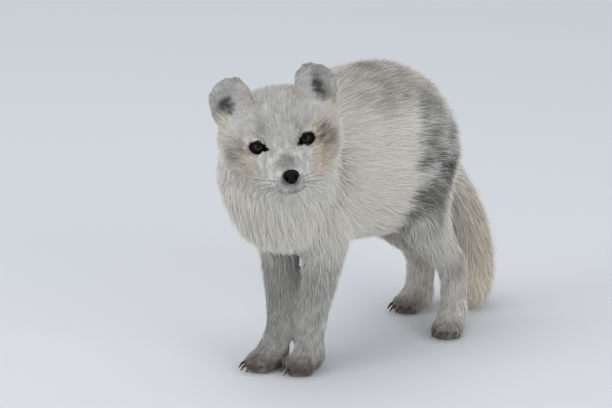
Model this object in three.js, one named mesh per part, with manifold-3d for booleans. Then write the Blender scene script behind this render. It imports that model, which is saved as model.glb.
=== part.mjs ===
// Arctic fox, standing, its head turned to its left, as a still, life-size museum model.
// Millimetres, +Z up. The fox faces -Y and its left is +X. The solids reach to the tips of the coat.
// Flesh is joined whole, then parted by thin cuts where a person would name its parts.
import * as THREE from "three";
import { LoftGeometry } from "three/addons/geometries/LoftGeometry.js";
import { mergeVertices } from "three/addons/utils/BufferGeometryUtils.js";
import Module from "manifold-3d";

const wasm = await Module();
wasm.setup();

// ---------------------------------------------------------------- driving dimensions
const BACK = 320; // height of the back, over the ribs
const BELLY = 128; // clearance under the ribs
const RIBS = 78; // half the width of the body at the ribs
const FACE = 71; // half the width of the head at the cheeks
const EYE_RADIUS = 8.2;
const EYE_APART = 25; // from each eye's centre to the middle of the face
const EAR_HEIGHT = 52; // with the root that is sunk in the head
const EAR_HALF = 27; // half the width of an ear
const LEG = 16; // half the thickness of a leg above its paw
const TOE_APART = 8.5; // between the toes of one paw
const SOLE_TOP = 28; // height at which a paw meets its leg
const TAIL = 40; // half the width of the tail at its fullest
const GAP = 0.3; // between neighbouring solids

const HEAD = {
  place: new THREE.Vector3(57, -198, 288), // midway between the eyes
  yaw: 42.5, // degrees to the fox's left
  pitch: 2, // nose up
  roll: 9.5, // crown to the fox's right
};
const SIDES = { left: 1, right: -1 };
const WRIST = { left: [13, -91, 50], right: [-16, -107, 50] };
const ELBOW = { left: [28, -86, 136], right: [-30, -93, 136] };
const SHOULDER = { left: [38, -98, 196], right: [-38, -98, 196] };
const FORE_PAW = { left: [14, -102], right: [-25, -120] };
const HOCK = { left: [54, 118, 68], right: [-24, 160, 68] };
const KNEE = { left: [48, 62, 138], right: [-38, 84, 138] };
const HIP = { left: [36, 84, 194], right: [-34, 92, 194] };
const HIND_PAW = { left: [63, 97], right: [-21, 143] };
const PAW_TURN = { fore: { left: 6, right: -6 }, hind: { left: 22, right: -4 } };

const COAT = new THREE.MeshStandardMaterial({ color: 0xd9d8d2, roughness: 0.9, metalness: 0 });
const NOSE = new THREE.MeshStandardMaterial({ color: 0x17171a, roughness: 0.35, metalness: 0 });
const EYE = new THREE.MeshStandardMaterial({ color: 0x3a2a20, roughness: 0.1, metalness: 0 });
const CLAW = new THREE.MeshStandardMaterial({ color: 0x4a4440, roughness: 0.5, metalness: 0 });

// ---------------------------------------------------------------- solids
// A closed geometry as a solid: shared corners are merged, and triangles that a pole shuts are dropped.
function solidOf(geometry) {
  const bare = new THREE.BufferGeometry();
  bare.setAttribute("position", geometry.getAttribute("position"));
  bare.setIndex(geometry.index);
  const merged = mergeVertices(bare, 1e-3);
  const corners = merged.index.array;
  const triangles = [];
  for (let i = 0; i < corners.length; i += 3) {
    const [a, b, c] = corners.subarray(i, i + 3);
    if (a !== b && b !== c && c !== a) triangles.push(a, b, c);
  }
  return new wasm.Manifold(
    new wasm.Mesh({
      numProp: 3,
      vertProperties: merged.attributes.position.array,
      triVerts: new Uint32Array(triangles),
    }),
  );
}

function geometryOf(solid) {
  const mesh = solid.getMesh();
  const position = new Float32Array(mesh.numVert * 3);
  for (let i = 0; i < mesh.numVert; i++) {
    position.set(mesh.vertProperties.subarray(i * mesh.numProp, i * mesh.numProp + 3), i * 3);
  }
  const geometry = new THREE.BufferGeometry();
  geometry.setAttribute("position", new THREE.BufferAttribute(position, 3));
  geometry.setIndex(new THREE.BufferAttribute(mesh.triVerts, 1));
  geometry.computeVertexNormals();
  return geometry;
}

// The largest body of a solid once its corners are rounded, so that no crumb hangs on by a corner.
const body = (solid) =>
  solidOf(geometryOf(solid))
    .decompose()
    .reduce((a, b) => (a.volume() > b.volume() ? a : b));

const joined = (solids) => solids.reduce((whole, solid) => whole.add(solid));

// A station of a limb: its place, half its width, and its half depths over and under the path. Over is
// up on a limb that runs back from the nose, and forwards on one that is built from the ground up.
const station = ([x, y, z], across, over, under = over) => ({
  at: new THREE.Vector3(x, y, z),
  size: new THREE.Vector3(across, over, under),
});

// A limb: rings of two half ellipses across a smooth path through its stations, with a dome at each
// end. The rings stand square to the path, or all face one way where facing is given.
function limb(stations, { around, steps, domes, grow = 0, side = [1, 0, 0], facing, domeRings = 3 }) {
  const path = new THREE.CatmullRomCurve3(stations.map((s) => s.at), false, "catmullrom", 0.5);
  const sizes = new THREE.CatmullRomCurve3(stations.map((s) => s.size), false, "catmullrom", 0.5);
  const across = new THREE.Vector3(...side);
  const ring = (t, shift, scale) => {
    const along = facing ? new THREE.Vector3(...facing) : path.getTangent(t);
    const right = across.clone().addScaledVector(along, -across.dot(along)).normalize();
    const over = new THREE.Vector3().crossVectors(right, along);
    const centre = path.getPoint(t).addScaledVector(along, shift);
    const size = sizes.getPoint(t).addScalar(grow).multiplyScalar(scale);
    return Array.from({ length: around }, (_, i) => {
      const angle = (-2 * Math.PI * i) / around;
      const depth = Math.sin(angle) > 0 ? size.y : size.z;
      return centre
        .clone()
        .addScaledVector(right, size.x * Math.cos(angle))
        .addScaledVector(over, depth * Math.sin(angle));
    });
  };
  const dome = (t, length) =>
    Array.from({ length: domeRings }, (_, i) => {
      const angle = (Math.PI / 2) * Math.sin(((i + 1) / domeRings) * (Math.PI / 2));
      const bulge = length + Math.sign(length) * grow;
      return ring(t, bulge * Math.sin(angle), i + 1 === domeRings ? 0 : Math.cos(angle));
    });
  const rings = Array.from({ length: steps + 1 }, (_, i) => ring(i / steps, 0, 1));
  return new LoftGeometry([...dome(0, -domes[0]).reverse(), ...rings, ...dome(1, domes[1])]);
}

// ---------------------------------------------------------------- trunk, neck and tail
// Each row: place along Y, half width, height of the back and height of the belly.
const trunkRows = [
  [-150, 0.62 * RIBS, BACK - 46, BELLY + 26],
  [-120, 0.84 * RIBS, BACK - 24, BELLY + 8],
  [-80, 0.95 * RIBS, BACK - 8, BELLY + 2],
  [-25, RIBS, BACK, BELLY],
  [30, RIBS, BACK, BELLY - 8],
  [75, 0.95 * RIBS, BACK - 9, BELLY - 10],
  [110, 0.84 * RIBS, BACK - 31, BELLY - 4],
  [136, 0.62 * RIBS, BACK - 58, BELLY + 14],
  [150, 0.34 * RIBS, BACK - 92, BELLY + 30],
];
const trunk = (grow) =>
  limb(
    trunkRows.map(([y, half, back, belly]) =>
      station([0, y, (back + belly) / 2], half, (back - belly) / 2),
    ),
    { around: 16, steps: 10, domes: [20, 10], grow, facing: [0, 1, 0], domeRings: 2 },
  );

const neck = (grow) =>
  limb(
    [
      station([0, -128, 190], 62, 60, 56),
      station([6, -142, 220], 70, 64, 60),
      station([13, -150, 252], 67, 61, 56),
      station([18, -150, 284], 60, 56, 50),
    ],
    { around: 15, steps: 5, domes: [50, 26], grow, facing: [0, 0, 1] },
  );

const tail = (grow) =>
  limb(
    [
      station([34, 184, 13], 0.42 * TAIL, 0.4 * TAIL),
      station([26, 185, 36], 0.78 * TAIL, 0.66 * TAIL),
      station([13, 183, 80], TAIL, 0.8 * TAIL),
      station([6, 174, 120], 0.96 * TAIL, 0.76 * TAIL),
      station([2, 161, 158], 0.74 * TAIL, 0.66 * TAIL),
      station([0, 142, 192], 0.6 * TAIL, 0.6 * TAIL),
    ],
    { around: 12, steps: 8, domes: [10, 12], grow, domeRings: 2 },
  );

// ---------------------------------------------------------------- head, in its own frame
// Its origin is midway between the eyes, and its nose points along -Y.
const head = (grow) =>
  limb(
    [
      station([0, -58, -27], 9, 7, 12),
      station([0, -50, -27], 15.5, 11, 18),
      station([0, -36, -26], 19.5, 15, 21),
      station([0, -20, -23], 23, 18, 26),
      station([0, -8, -18], 26.5, 23, 32),
      station([0, 2, -14], 33, 32, 38),
      station([0, 12, -10], 0.65 * FACE, 42, 46),
      station([0, 22, -8], 0.82 * FACE, 49, 52),
      station([0, 36, -5], 0.97 * FACE, 54, 57),
      station([0, 54, -3], 0.96 * FACE, 54, 56),
      station([0, 72, 0], 0.78 * FACE, 47, 48),
    ],
    { around: 18, steps: 14, domes: [3, 18], grow, facing: [0, 1, 0], domeRings: 2 },
  );

const nosePad = (grow) =>
  limb([station([0, -65, -24], 8, 6, 7), station([0, -58, -23], 9.3, 7.5, 8)], {
    around: 12,
    steps: 1,
    domes: [3, 6],
    grow,
    domeRings: 2,
  });

const eyeball = (side, grow = 0) =>
  new THREE.SphereGeometry(EYE_RADIUS + grow, 12, 8).translate(side * EYE_APART, 4, 0);

// An ear: rings of a bent leaf, up a line that leans outwards. The leaf's width follows a round-topped
// curve, and its edges bend forwards by the square of their distance from its middle.
function ear(side, grow = 0) {
  const AROUND = 12;
  const STEPS = 6;
  const root = new THREE.Vector3(side * 31, 34, 20);
  const lean = new THREE.Vector3(side * 19, 6, EAR_HEIGHT);
  const up = lean.clone().normalize();
  const outwards = new THREE.Vector3(0.85 * side, 0.35, -0.5);
  outwards.addScaledVector(up, -outwards.dot(up)).normalize();
  const back = new THREE.Vector3().crossVectors(up, outwards).multiplyScalar(side);
  const rings = Array.from({ length: STEPS + 1 }, (_, k) => {
    const height = Math.sin(((k / STEPS) * Math.PI) / 2);
    const half = (EAR_HALF + grow) * Math.pow(1 - Math.pow(height, 2.6), 0.45) * (0.85 + 0.3 * height);
    const thick = (6 - 3 * height + 2 * grow) / 2;
    const cup = (16 - 9 * height) * (half / EAR_HALF);
    const centre = root.clone().addScaledVector(lean, Math.min(height, 0.99));
    return Array.from({ length: AROUND }, (_, i) => {
      const angle = (2 * Math.PI * i * side) / AROUND;
      const across = Math.cos(angle);
      return centre
        .clone()
        .addScaledVector(outwards, half * across)
        .addScaledVector(back, thick * Math.sin(angle) - cup * across * across);
    });
  });
  const foot = rings[0].map(() => root);
  return new LoftGeometry([foot, ...rings]);
}

// ---------------------------------------------------------------- legs, from the ground up
const between = (a, b, share) => a.map((value, i) => value + (b[i] - value) * share);

const foreleg = (side, grow) =>
  limb(
    [
      station([FORE_PAW[side][0], FORE_PAW[side][1] + 7, 20], LEG, LEG, 0.9 * LEG),
      station(WRIST[side], LEG, LEG),
      station(between(WRIST[side], ELBOW[side], 0.5), 1.28 * LEG, 1.24 * LEG),
      station(ELBOW[side], 1.55 * LEG, 1.7 * LEG),
      station(between(ELBOW[side], SHOULDER[side], 0.5), 1.9 * LEG, 2.2 * LEG),
      station(SHOULDER[side], 1.85 * LEG, 2.2 * LEG),
    ],
    { around: 11, steps: 7, domes: [8, 26], grow, domeRings: 2 },
  );

const hindLeg = (side, grow) =>
  joined(
    [
      [
        station([HIND_PAW[side][0], HIND_PAW[side][1] + 10, 20], LEG, LEG, 0.9 * LEG),
        station(between([...HIND_PAW[side], 20], HOCK[side], 0.55), LEG, LEG),
        station(HOCK[side], LEG, 1.05 * LEG),
      ],
      [
        station(HOCK[side], LEG, 1.05 * LEG),
        station(between(HOCK[side], KNEE[side], 0.5), 1.25 * LEG, 1.5 * LEG),
        station(KNEE[side], 1.6 * LEG, 2.1 * LEG),
      ],
      [
        station(KNEE[side], 1.6 * LEG, 2.2 * LEG),
        station(between(KNEE[side], HIP[side], 0.5), 1.9 * LEG, 2.9 * LEG, 2.7 * LEG),
        station(HIP[side], 1.8 * LEG, 2.8 * LEG, 2.5 * LEG),
      ],
    ].map((stations) => solidOf(limb(stations, { around: 11, steps: 2, domes: [16, 16], grow, domeRings: 2 }))),
  );

// A paw, in its own frame: a pad, four toes of which the middle two reach further, and a flat sole.
const TOES = [-1.5, -0.5, 0.5, 1.5];
const reach = (toe) => (Math.abs(toe) > 1 ? 0 : 6);
const onPaw = ([x, y], turn, geometry) =>
  solidOf(geometry.rotateZ(THREE.MathUtils.degToRad(turn)).translate(x, y, 0));

function paw(place, turn, grow = 0) {
  const facing = [0, -1, 0];
  const side = [-1, 0, 0];
  const pad = limb(
    [station([0, 20, 15], 14, 14, 18), station([0, 4, 15], 18, 15, 18), station([0, -10, 13], 17, 12, 18)],
    { around: 8, steps: 2, domes: [8, 8], grow, side, facing, domeRings: 2 },
  );
  const toes = TOES.map((toe) =>
    limb(
      [
        station([toe * TOE_APART, -8, 11], 5.6, 8, 12),
        station([toe * TOE_APART, -19 - reach(toe), 9], 6, 7.5, 12),
      ],
      { around: 6, steps: 1, domes: [2, 6], grow, side, facing, domeRings: 2 },
    ),
  );
  return joined([pad, ...toes].map((piece) => onPaw(place, turn, piece))).trimByPlane([0, 0, 1], 0);
}

function claw(place, turn, toe, grow = 0) {
  const x = toe * TOE_APART;
  const y = -22 - reach(toe);
  const hook = limb(
    [station([x, y, 9], 1.8, 2), station([x, y - 6, 8], 1.4, 1.6), station([x, y - 10, 4.6], 0.7, 0.8)],
    { around: 5, steps: 2, domes: [1, 0.8], grow, side: [-1, 0, 0], domeRings: 1 },
  );
  return onPaw(place, turn, hook);
}

// ---------------------------------------------------------------- assembly
const fox = new THREE.Group();
const placed = []; // every solid so far, grown by the gap, which the next ones are cut by

function show(name, material, solid) {
  const mesh = new THREE.Mesh(geometryOf(solid), material);
  mesh.name = name;
  fox.add(mesh);
}

function clear(solid) {
  const near = placed.filter((other) => other.intersect(solid).volume() > 0);
  return near.length ? solid.subtract(joined(near)) : solid;
}

// Parts a solid with thin square cuts, each at a point, across a direction and turned in its own
// plane, and shows each piece under the name whose point lies inside it.
function part(solid, cuts, names) {
  const UP = new THREE.Vector3(0, 0, 1);
  const slabs = cuts.map(({ at, across, size = 300, turn = 0 }) =>
    solidOf(
      new THREE.BoxGeometry(size, size, GAP)
        .rotateZ(degrees(turn))
        .applyQuaternion(new THREE.Quaternion().setFromUnitVectors(UP, across.clone().normalize()))
        .translate(at.x, at.y, at.z),
    ),
  );
  const pieces = solid.subtract(joined(slabs)).decompose();
  for (const [name, point] of Object.entries(names)) {
    const marker = solidOf(new THREE.OctahedronGeometry(1).translate(...point));
    show(name, COAT, body(pieces.find((piece) => piece.intersect(marker).volume() > 0)));
  }
}

const vector = (...values) => new THREE.Vector3(...values);
const degrees = THREE.MathUtils.degToRad;
const headMatrix = new THREE.Matrix4()
  .makeRotationFromEuler(
    new THREE.Euler(degrees(-HEAD.pitch), degrees(-HEAD.roll), degrees(HEAD.yaw), "ZXY"),
  )
  .setPosition(HEAD.place);
const inHead = (geometry) => solidOf(geometry.applyMatrix4(headMatrix));
const headPoint = (...point) => vector(...point).applyMatrix4(headMatrix);
const headAxis = (...axis) => vector(...axis).transformDirection(headMatrix);

for (const [side, sign] of Object.entries(SIDES)) {
  show(`eye_${side}`, EYE, inHead(eyeball(sign)));
  placed.push(inHead(eyeball(sign, GAP)));
}
show("nose", NOSE, inHead(nosePad(0)));
placed.push(inHead(nosePad(GAP)));

for (const [side, sign] of Object.entries(SIDES)) {
  for (const [legName, place] of Object.entries({ fore: FORE_PAW[side], hind: HIND_PAW[side] })) {
    const turn = PAW_TURN[legName][side];
    TOES.forEach((toe, i) => {
      show(`claw_${legName}_${side}_${i + 1}`, CLAW, claw(place, turn, toe));
      placed.push(claw(place, turn, toe, GAP));
    });
  }
}
for (const side of Object.keys(SIDES)) {
  const soleCut = ([x, y]) => ({ at: vector(x, y, SOLE_TOP), across: vector(0, 0, 1) });
  const elbowCut = { at: vector(...ELBOW[side]), across: vector(0, 0, 1) };
  part(
    clear(solidOf(foreleg(side, 0)).add(paw(FORE_PAW[side], PAW_TURN.fore[side]))),
    [soleCut(FORE_PAW[side]), elbowCut],
    {
      [`paw_fore_${side}`]: [...FORE_PAW[side], 12],
      [`foreleg_${side}`]: between(WRIST[side], ELBOW[side], 0.5),
      [`shoulder_${side}`]: SHOULDER[side],
    },
  );
  placed.push(solidOf(foreleg(side, GAP)).add(paw(FORE_PAW[side], PAW_TURN.fore[side], GAP)));

  const hockCut = { at: vector(...HOCK[side]), across: vector(0, -0.1, 1) };
  const kneeCut = {
    at: vector(...KNEE[side]),
    across: vector(...HIP[side]).sub(vector(...HOCK[side])),
  };
  part(
    clear(hindLeg(side, 0).add(paw(HIND_PAW[side], PAW_TURN.hind[side]))),
    [soleCut(HIND_PAW[side]), hockCut, kneeCut],
    {
      [`paw_hind_${side}`]: [...HIND_PAW[side], 12],
      [`hock_${side}`]: between([...HIND_PAW[side], SOLE_TOP], HOCK[side], 0.5),
      [`shank_${side}`]: between(HOCK[side], KNEE[side], 0.5),
      [`thigh_${side}`]: HIP[side],
    },
  );
  placed.push(hindLeg(side, GAP).add(paw(HIND_PAW[side], PAW_TURN.hind[side], GAP)));
}

const torso = (grow) => joined([inHead(head(grow)), solidOf(neck(grow)), solidOf(trunk(grow))]);
const MUZZLE_ROOT = -8;
part(
  clear(torso(0)),
  [
    { at: headPoint(0, 45, -10), across: headAxis(0, 0.9, -0.5) },
    { at: vector(0, -102, 220), across: vector(0, 1, 0) },
    { at: vector(0, 20, 220), across: vector(0, 1, 0) },
    { at: headPoint(0, MUZZLE_ROOT, -20), across: headAxis(0, 1, 0), size: 90 },
    {
      at: headPoint(0, MUZZLE_ROOT - 45, -36),
      across: headAxis(0, 0.12, 1),
      size: 90.6,
      turn: HEAD.yaw,
    },
  ],
  {
    head: headPoint(0, 20, 0).toArray(),
    muzzle: headPoint(0, MUZZLE_ROOT - 10, -15).toArray(),
    jaw: headPoint(0, MUZZLE_ROOT - 10, -43).toArray(),
    neck: [0, -140, 220],
    chest: [0, -60, 220],
    loin: [0, 60, 220],
  },
);
placed.push(torso(GAP));

for (const [side, sign] of Object.entries(SIDES)) {
  show(`ear_${side}`, COAT, body(clear(inHead(ear(sign)))));
}
part(clear(solidOf(tail(0))), [{ at: vector(10, 186, 96), across: vector(0, 0, 1) }], {
  tail_root: [4, 176, 140],
  tail_tip: [18, 188, 60],
});

// The origin is under the middle of the box that the fox fills.
const middle = new THREE.Box3().setFromObject(fox).getCenter(new THREE.Vector3());
fox.position.set(-middle.x, -middle.y, 0);

export default fox;
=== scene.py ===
"""Arctic fox, standing with its head turned to its left: skin, coat and face over the frame.

Shapes are worked out in millimetres in the fox's own frame (floor at z 0, nose towards -Y, the
middle of the trunk on x 0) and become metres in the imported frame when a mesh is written.
"""
import math

import bmesh
import bpy
import numpy as np
from mathutils import Matrix, Vector


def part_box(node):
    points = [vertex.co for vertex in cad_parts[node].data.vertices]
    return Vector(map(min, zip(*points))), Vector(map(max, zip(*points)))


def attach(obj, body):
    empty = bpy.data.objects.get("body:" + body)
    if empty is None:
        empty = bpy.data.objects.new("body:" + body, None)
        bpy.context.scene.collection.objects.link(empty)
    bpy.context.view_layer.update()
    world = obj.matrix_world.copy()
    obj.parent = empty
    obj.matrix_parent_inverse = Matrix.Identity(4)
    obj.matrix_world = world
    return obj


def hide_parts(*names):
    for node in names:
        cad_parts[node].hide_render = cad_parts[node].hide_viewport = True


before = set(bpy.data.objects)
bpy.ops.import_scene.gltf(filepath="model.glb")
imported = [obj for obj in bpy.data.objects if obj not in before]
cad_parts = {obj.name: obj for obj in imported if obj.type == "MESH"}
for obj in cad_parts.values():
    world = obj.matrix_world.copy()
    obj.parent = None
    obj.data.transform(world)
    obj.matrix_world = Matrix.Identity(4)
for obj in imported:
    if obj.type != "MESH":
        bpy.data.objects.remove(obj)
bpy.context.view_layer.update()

SCENE = bpy.context.scene
MM = 0.001
TINY = 1e-9
SIDES = {"left": 1, "right": -1}
HEAD_PLACE = np.array([57.0, -198.0, 288.0])
HEAD_YAW, HEAD_PITCH, HEAD_ROLL = 42.5, 2.0, 9.5
EYE_RADIUS = 8.2
EYE_PLACE = np.array([25.0, 4.0, 0.0])


def turn(axis, degrees):
    """Rotation matrix about one axis."""
    return np.array(Matrix.Rotation(math.radians(degrees), 3, axis))


HEAD_TURN = turn("Z", HEAD_YAW) @ turn("X", -HEAD_PITCH) @ turn("Y", -HEAD_ROLL)
EYES_MIDDLE = np.mean([np.mean(np.array(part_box(f"eye_{side}")), axis=0) for side in SIDES], axis=0)
FOX_ORIGIN = EYES_MIDDLE / MM - HEAD_PLACE - HEAD_TURN @ (EYE_PLACE * (0, 1, 1))
FOX_ORIGIN[2] = 0.0


def to_head(points):
    """Fox frame to the head's own frame: x to its left, y backwards, z up, 0 between the eyes."""
    return (points - HEAD_PLACE) @ HEAD_TURN


def from_head(points):
    """The head's own frame to the fox frame."""
    return HEAD_PLACE + points @ HEAD_TURN.T


def norm(vectors):
    """Lengths of vectors."""
    return np.linalg.norm(vectors, axis=-1)


def unit(vectors):
    """The same directions at length 1."""
    return vectors / np.maximum(norm(vectors), TINY)[..., None]


def dot(a, b):
    """Sum of products along the last axis."""
    return np.sum(a * b, axis=-1)


def flattened(vectors, normals):
    """Vectors less their part along the normals."""
    return vectors - normals * dot(vectors, normals)[..., None]


def ease(low, high, value):
    """0 below low, 1 above high, a smooth S between; low may be the larger."""
    t = np.clip((value - low) / (high - low), 0.0, 1.0)
    return t * t * (3.0 - 2.0 * t)


def bell(value, width):
    """1 at 0, falling both ways as exp of minus the square of value over width."""
    return np.exp(-((value / width) ** 2))


def raised(value, power):
    """The size of value raised to a power, with its sign kept."""
    return np.sign(value) * np.abs(value) ** power


def blend(first, second, share):
    """first where share is 0, second where it is 1."""
    return first + (second - first) * share


def bent(s, start, middle, end):
    """Quadratic curve from start to end, drawn towards middle, at parameters s from 0 to 1."""
    return (1 - s) ** 2 * start + 2 * s * (1 - s) * middle + s**2 * end


def catmull(rows, t):
    """Catmull-Rom curve through the rows at parameters t from 0 to 1."""
    padded = np.vstack([2 * rows[0] - rows[1], rows, 2 * rows[-1] - rows[-2]])
    place = t * (len(rows) - 1)
    i = np.minimum(place.astype(int), len(rows) - 2)
    u = (place - i)[:, None]
    a, b, c, d = (padded[i + k] for k in range(4))
    return 0.5 * (2 * b + (c - a) * u + (2 * a - 5 * b + 4 * c - d) * u**2
                  + (3 * b - a - 3 * c + d) * u**3)


def circle(count):
    """Angles that divide a full turn evenly."""
    return np.linspace(0, 2 * np.pi, count, endpoint=False)


def nearest_on(path, points):
    """Distance from each point to a path of points."""
    best = np.full(len(points), 1e9)
    for a, b in zip(path[:-1], path[1:]):
        t = np.clip(dot(points - a, b - a) / dot(b - a, b - a), 0, 1)
        best = np.minimum(best, norm(points - a - t[:, None] * (b - a)))
    return best


# Meshes --------------------

def read(rows, what, width, kind=int):
    """One attribute of a mesh's vertices, edges, loops or faces as an array of width columns."""
    values = np.empty(len(rows) * width, kind)
    rows.foreach_get(what, values)
    return values.reshape(-1, width)


def put_points(mesh, points):
    """Move a mesh's vertices to points in the fox frame (mm)."""
    mesh.vertices.foreach_set("co", ((points + FOX_ORIGIN) * MM).astype(np.float32).ravel())
    mesh.update()


def new_piece(name, points, *faces):
    """A mesh object from points in the fox frame (mm) and arrays of faces of equal corner count."""
    mesh = bpy.data.meshes.new(name)
    corners = np.concatenate([f.ravel() for f in faces]).astype(np.int32)
    sizes = np.concatenate([np.full(len(f), f.shape[1]) for f in faces])
    starts = (np.cumsum(sizes) - sizes).astype(np.int32)
    mesh.vertices.add(len(points))
    put_points(mesh, points)
    mesh.loops.add(len(corners))
    mesh.loops.foreach_set("vertex_index", corners)
    mesh.polygons.add(len(sizes))
    mesh.polygons.foreach_set("loop_start", starts)
    mesh.update(calc_edges=True)
    mesh.shade_smooth()
    piece = bpy.data.objects.new(name, mesh)
    SCENE.collection.objects.link(piece)
    return piece


def grid_faces(rows, columns):
    """Quads between rows rings of points, columns points to a ring."""
    r = np.arange(rows - 1)[:, None] * columns
    c = np.arange(columns)[None, :]
    d = (c + 1) % columns
    return np.stack([r + c, r + d, r + columns + d, r + columns + c], -1).reshape(-1, 4)


def capped(points, rows, columns):
    """A closed grid of rows rings, each of columns points, with a pole at both ends."""
    rings = points.reshape(rows, columns, 3)
    n = rows * columns
    c = np.arange(columns)
    d = (c + 1) % columns
    near = np.stack([np.full(columns, n), d, c], -1)
    far = np.stack([np.full(columns, n + 1), n - columns + c, n - columns + d], -1)
    return (np.vstack([points, rings[0].mean(0), rings[-1].mean(0)]), grid_faces(rows, columns),
            np.vstack([near, far]))


def set_outwards(piece):
    """Turn every face of a closed piece outwards."""
    work = bmesh.new()
    work.from_mesh(piece.data)
    bmesh.ops.recalc_face_normals(work, faces=work.faces)
    work.to_mesh(piece.data)
    work.free()


def smoothed(values, edges, rounds, share=0.5):
    """Each vertex's values drawn a share of the way to the mean of its neighbours', in rounds."""
    n = len(values)
    a, b = edges.T
    count = np.maximum(np.bincount(a, minlength=n) + np.bincount(b, minlength=n), 1)[:, None]
    for _ in range(rounds):
        total = np.stack([np.bincount(a, values[b, k], n) + np.bincount(b, values[a, k], n)
                          for k in range(values.shape[1])], -1)
        values = blend(values, total / count, share)
    return values


class Surface:
    """Arrays of a mesh in the fox frame (mm)."""

    def __init__(self, mesh):
        mesh.calc_loop_triangles()
        self.points = read(mesh.vertices, "co", 3, float) / MM - FOX_ORIGIN
        self.edges = read(mesh.edges, "vertices", 2)
        self.triangles = read(mesh.loop_triangles, "vertices", 3)

    def normals(self, points=None, by_angle=False):
        """Unit normals of the vertices: the faces' normals added up, each by its face's area or
        by the angle of its corner at the vertex."""
        p = self.points if points is None else points
        corners = [p[self.triangles[:, k]] for k in range(3)]
        face = np.cross(corners[1] - corners[0], corners[2] - corners[0])
        total = np.zeros_like(p)
        for k in range(3):
            here = face
            if by_angle:
                one, other = (unit(corners[k - j] - corners[k]) for j in (1, 2))
                here = unit(face) * np.arccos(np.clip(dot(one, other), -1, 1))[:, None]
            total += np.stack([np.bincount(self.triangles[:, k], here[:, axis], len(p))
                               for axis in range(3)], -1)
        return unit(total)

    def neighbours(self, most=10):
        """Padded table of neighbours: n x most, filled up with the vertex itself."""
        both = np.vstack([self.edges, self.edges[:, ::-1]])
        both = both[np.argsort(both[:, 0], kind="stable")]
        rank = np.arange(len(both)) - np.searchsorted(both[:, 0], both[:, 0])
        table = np.tile(np.arange(len(self.points))[:, None], (1, most))
        keep = rank < most
        table[both[keep, 0], rank[keep]] = both[keep, 1]
        return table


# The ears, in the head frame --------------------

EAR_HALF, EAR_HEIGHT, EAR_THICK, EAR_BOW = 34.5, 55.5, 6.8, 2.0
EAR_ROOT = np.array([31.0, 34.0, 20.0])
EAR_UP = unit(np.array([19.0, 6.0, 52.0]))
EAR_ACROSS = unit(flattened(np.array([0.85, 0.35, -0.5]), EAR_UP))
EAR_FRONT = np.cross(EAR_ACROSS, EAR_UP)
EAR_AXES = np.stack([EAR_UP, EAR_ACROSS, EAR_FRONT])
# Limits, none and all, of what counts as ear: height at the base, millimetres past the edge and
# in front or behind, height at the tip.
ON_EAR = (0.08, 0.3), (9, 5), (11, 7), (1.3, 1.2)
ROUND_EAR = (-0.45, -0.2), (14, 8), (24, 16), (1.4, 1.3)


def ear_width(h):
    """Half the ear's width at height h from 0 to 1."""
    return EAR_HALF * (1 - np.clip(h, 0, 1) ** 2.6) ** 0.45 * (0.72 + 0.42 * h)


def ear_flare(h):
    """How far outwards an ear's middle line stands at height h: it flares towards the base."""
    return 7.0 * (1 - np.clip(h, 0, 1)) ** 2


def ear_cup(h):
    """How far in front of its middle line an ear's edge stands at height h."""
    return 11 + 9 * ease(-0.1, 0.35, h) - 9 * h


def ear_leaf(side, around=36, rows=30):
    """A leaf round the ear's mid surface: at height h an ellipse ear_width wide and EAR_THICK
    deep, bent forwards at its edges by the square of the place across."""
    h = np.clip(np.linspace(-0.12, 1, rows)[:, None], None, 0.99)
    half = ear_width(h)
    angle = circle(around)[None, :]
    u = np.cos(angle)
    thick = EAR_THICK * (1 - 0.2 * np.clip(h, 0, 1)) * np.sqrt(1.02 - u**8)
    ahead = (ear_cup(h) * half / EAR_HALF * u**2 + thick / 2 * raised(np.sin(angle), 0.5)
             - EAR_BOW * np.sin(np.pi * h))
    places = np.stack([EAR_HEIGHT * h + 0 * u, half * u + ear_flare(h), ahead], -1)
    points = (EAR_ROOT + places.reshape(-1, 3) @ EAR_AXES) * (side, 1, 1)
    return capped(from_head(points), rows, around)


def ear_space(q, side):
    """Height from 0 to 1, millimetres across (outwards) and in front of an ear's mid surface."""
    h, a, f = ((q * (side, 1, 1) - EAR_ROOT) @ EAR_AXES.T).T
    h = h / EAR_HEIGHT
    a = a - ear_flare(h)
    half = np.maximum(ear_width(h), 3)
    f = f - ear_cup(h) * half / EAR_HALF * np.clip(a / half, -1, 1) ** 2
    return h, a, f + EAR_BOW * np.sin(np.pi * np.clip(h, 0, 1))


def ear_share(q, limits=ON_EAR):
    """How much a place belongs to an ear, from 0 to 1."""
    base, edge, deep, tip = limits
    total = np.zeros(len(q))
    for side in SIDES.values():
        h, a, f = ear_space(q, side)
        total += ease(*base, h) * ease(EAR_HALF + edge[0], EAR_HALF + edge[1], np.abs(a)) * ease(
            *deep, np.abs(f)) * ease(*tip, h)
    return np.clip(total, 0, 1)


# The face, in the head frame --------------------

EYE_TURN, LID_SLANT = 22.0, 9.0
EYE_AXES = (np.array([(1, 0, 0), (0, 0, 1), (0, -1, 0)]) @ turn("Y", LID_SLANT)
            @ turn("Z", -EYE_TURN))
LID_HALF, LID_HIGH, LID_MEAN, LID_BALL = 7.2, 4.75, 5.8, 9.6
DUCT, DUCT_DROOP = 10.6, 2.0
LIP = np.array([(0, -61.5, -38.5), (7, -59.5, -40), (14, -52, -39.5), (20, -41, -36.5),
                (22, -33, -33)])
MOUTH = catmull(np.vstack([LIP[:0:-1] * (-1, 1, 1), LIP]), np.linspace(0, 1, 41))
NOSE_PLACE = np.array([1.2, -59.0, -22.3])
PHILTRUM = np.array([(0, -66, -30), (0, -63, -35), LIP[0]])
WHISKER_PAD, PAD_SIZE, PAD_HIGH = (12, -50, -31), (7, 11, 7), 1.6


def eye_space(q, side):
    """Place from an eyeball's middle: outwards, up (both slanted with the lids) and forward."""
    return (q * (side, 1, 1) - EYE_PLACE) @ EYE_AXES.T


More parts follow.
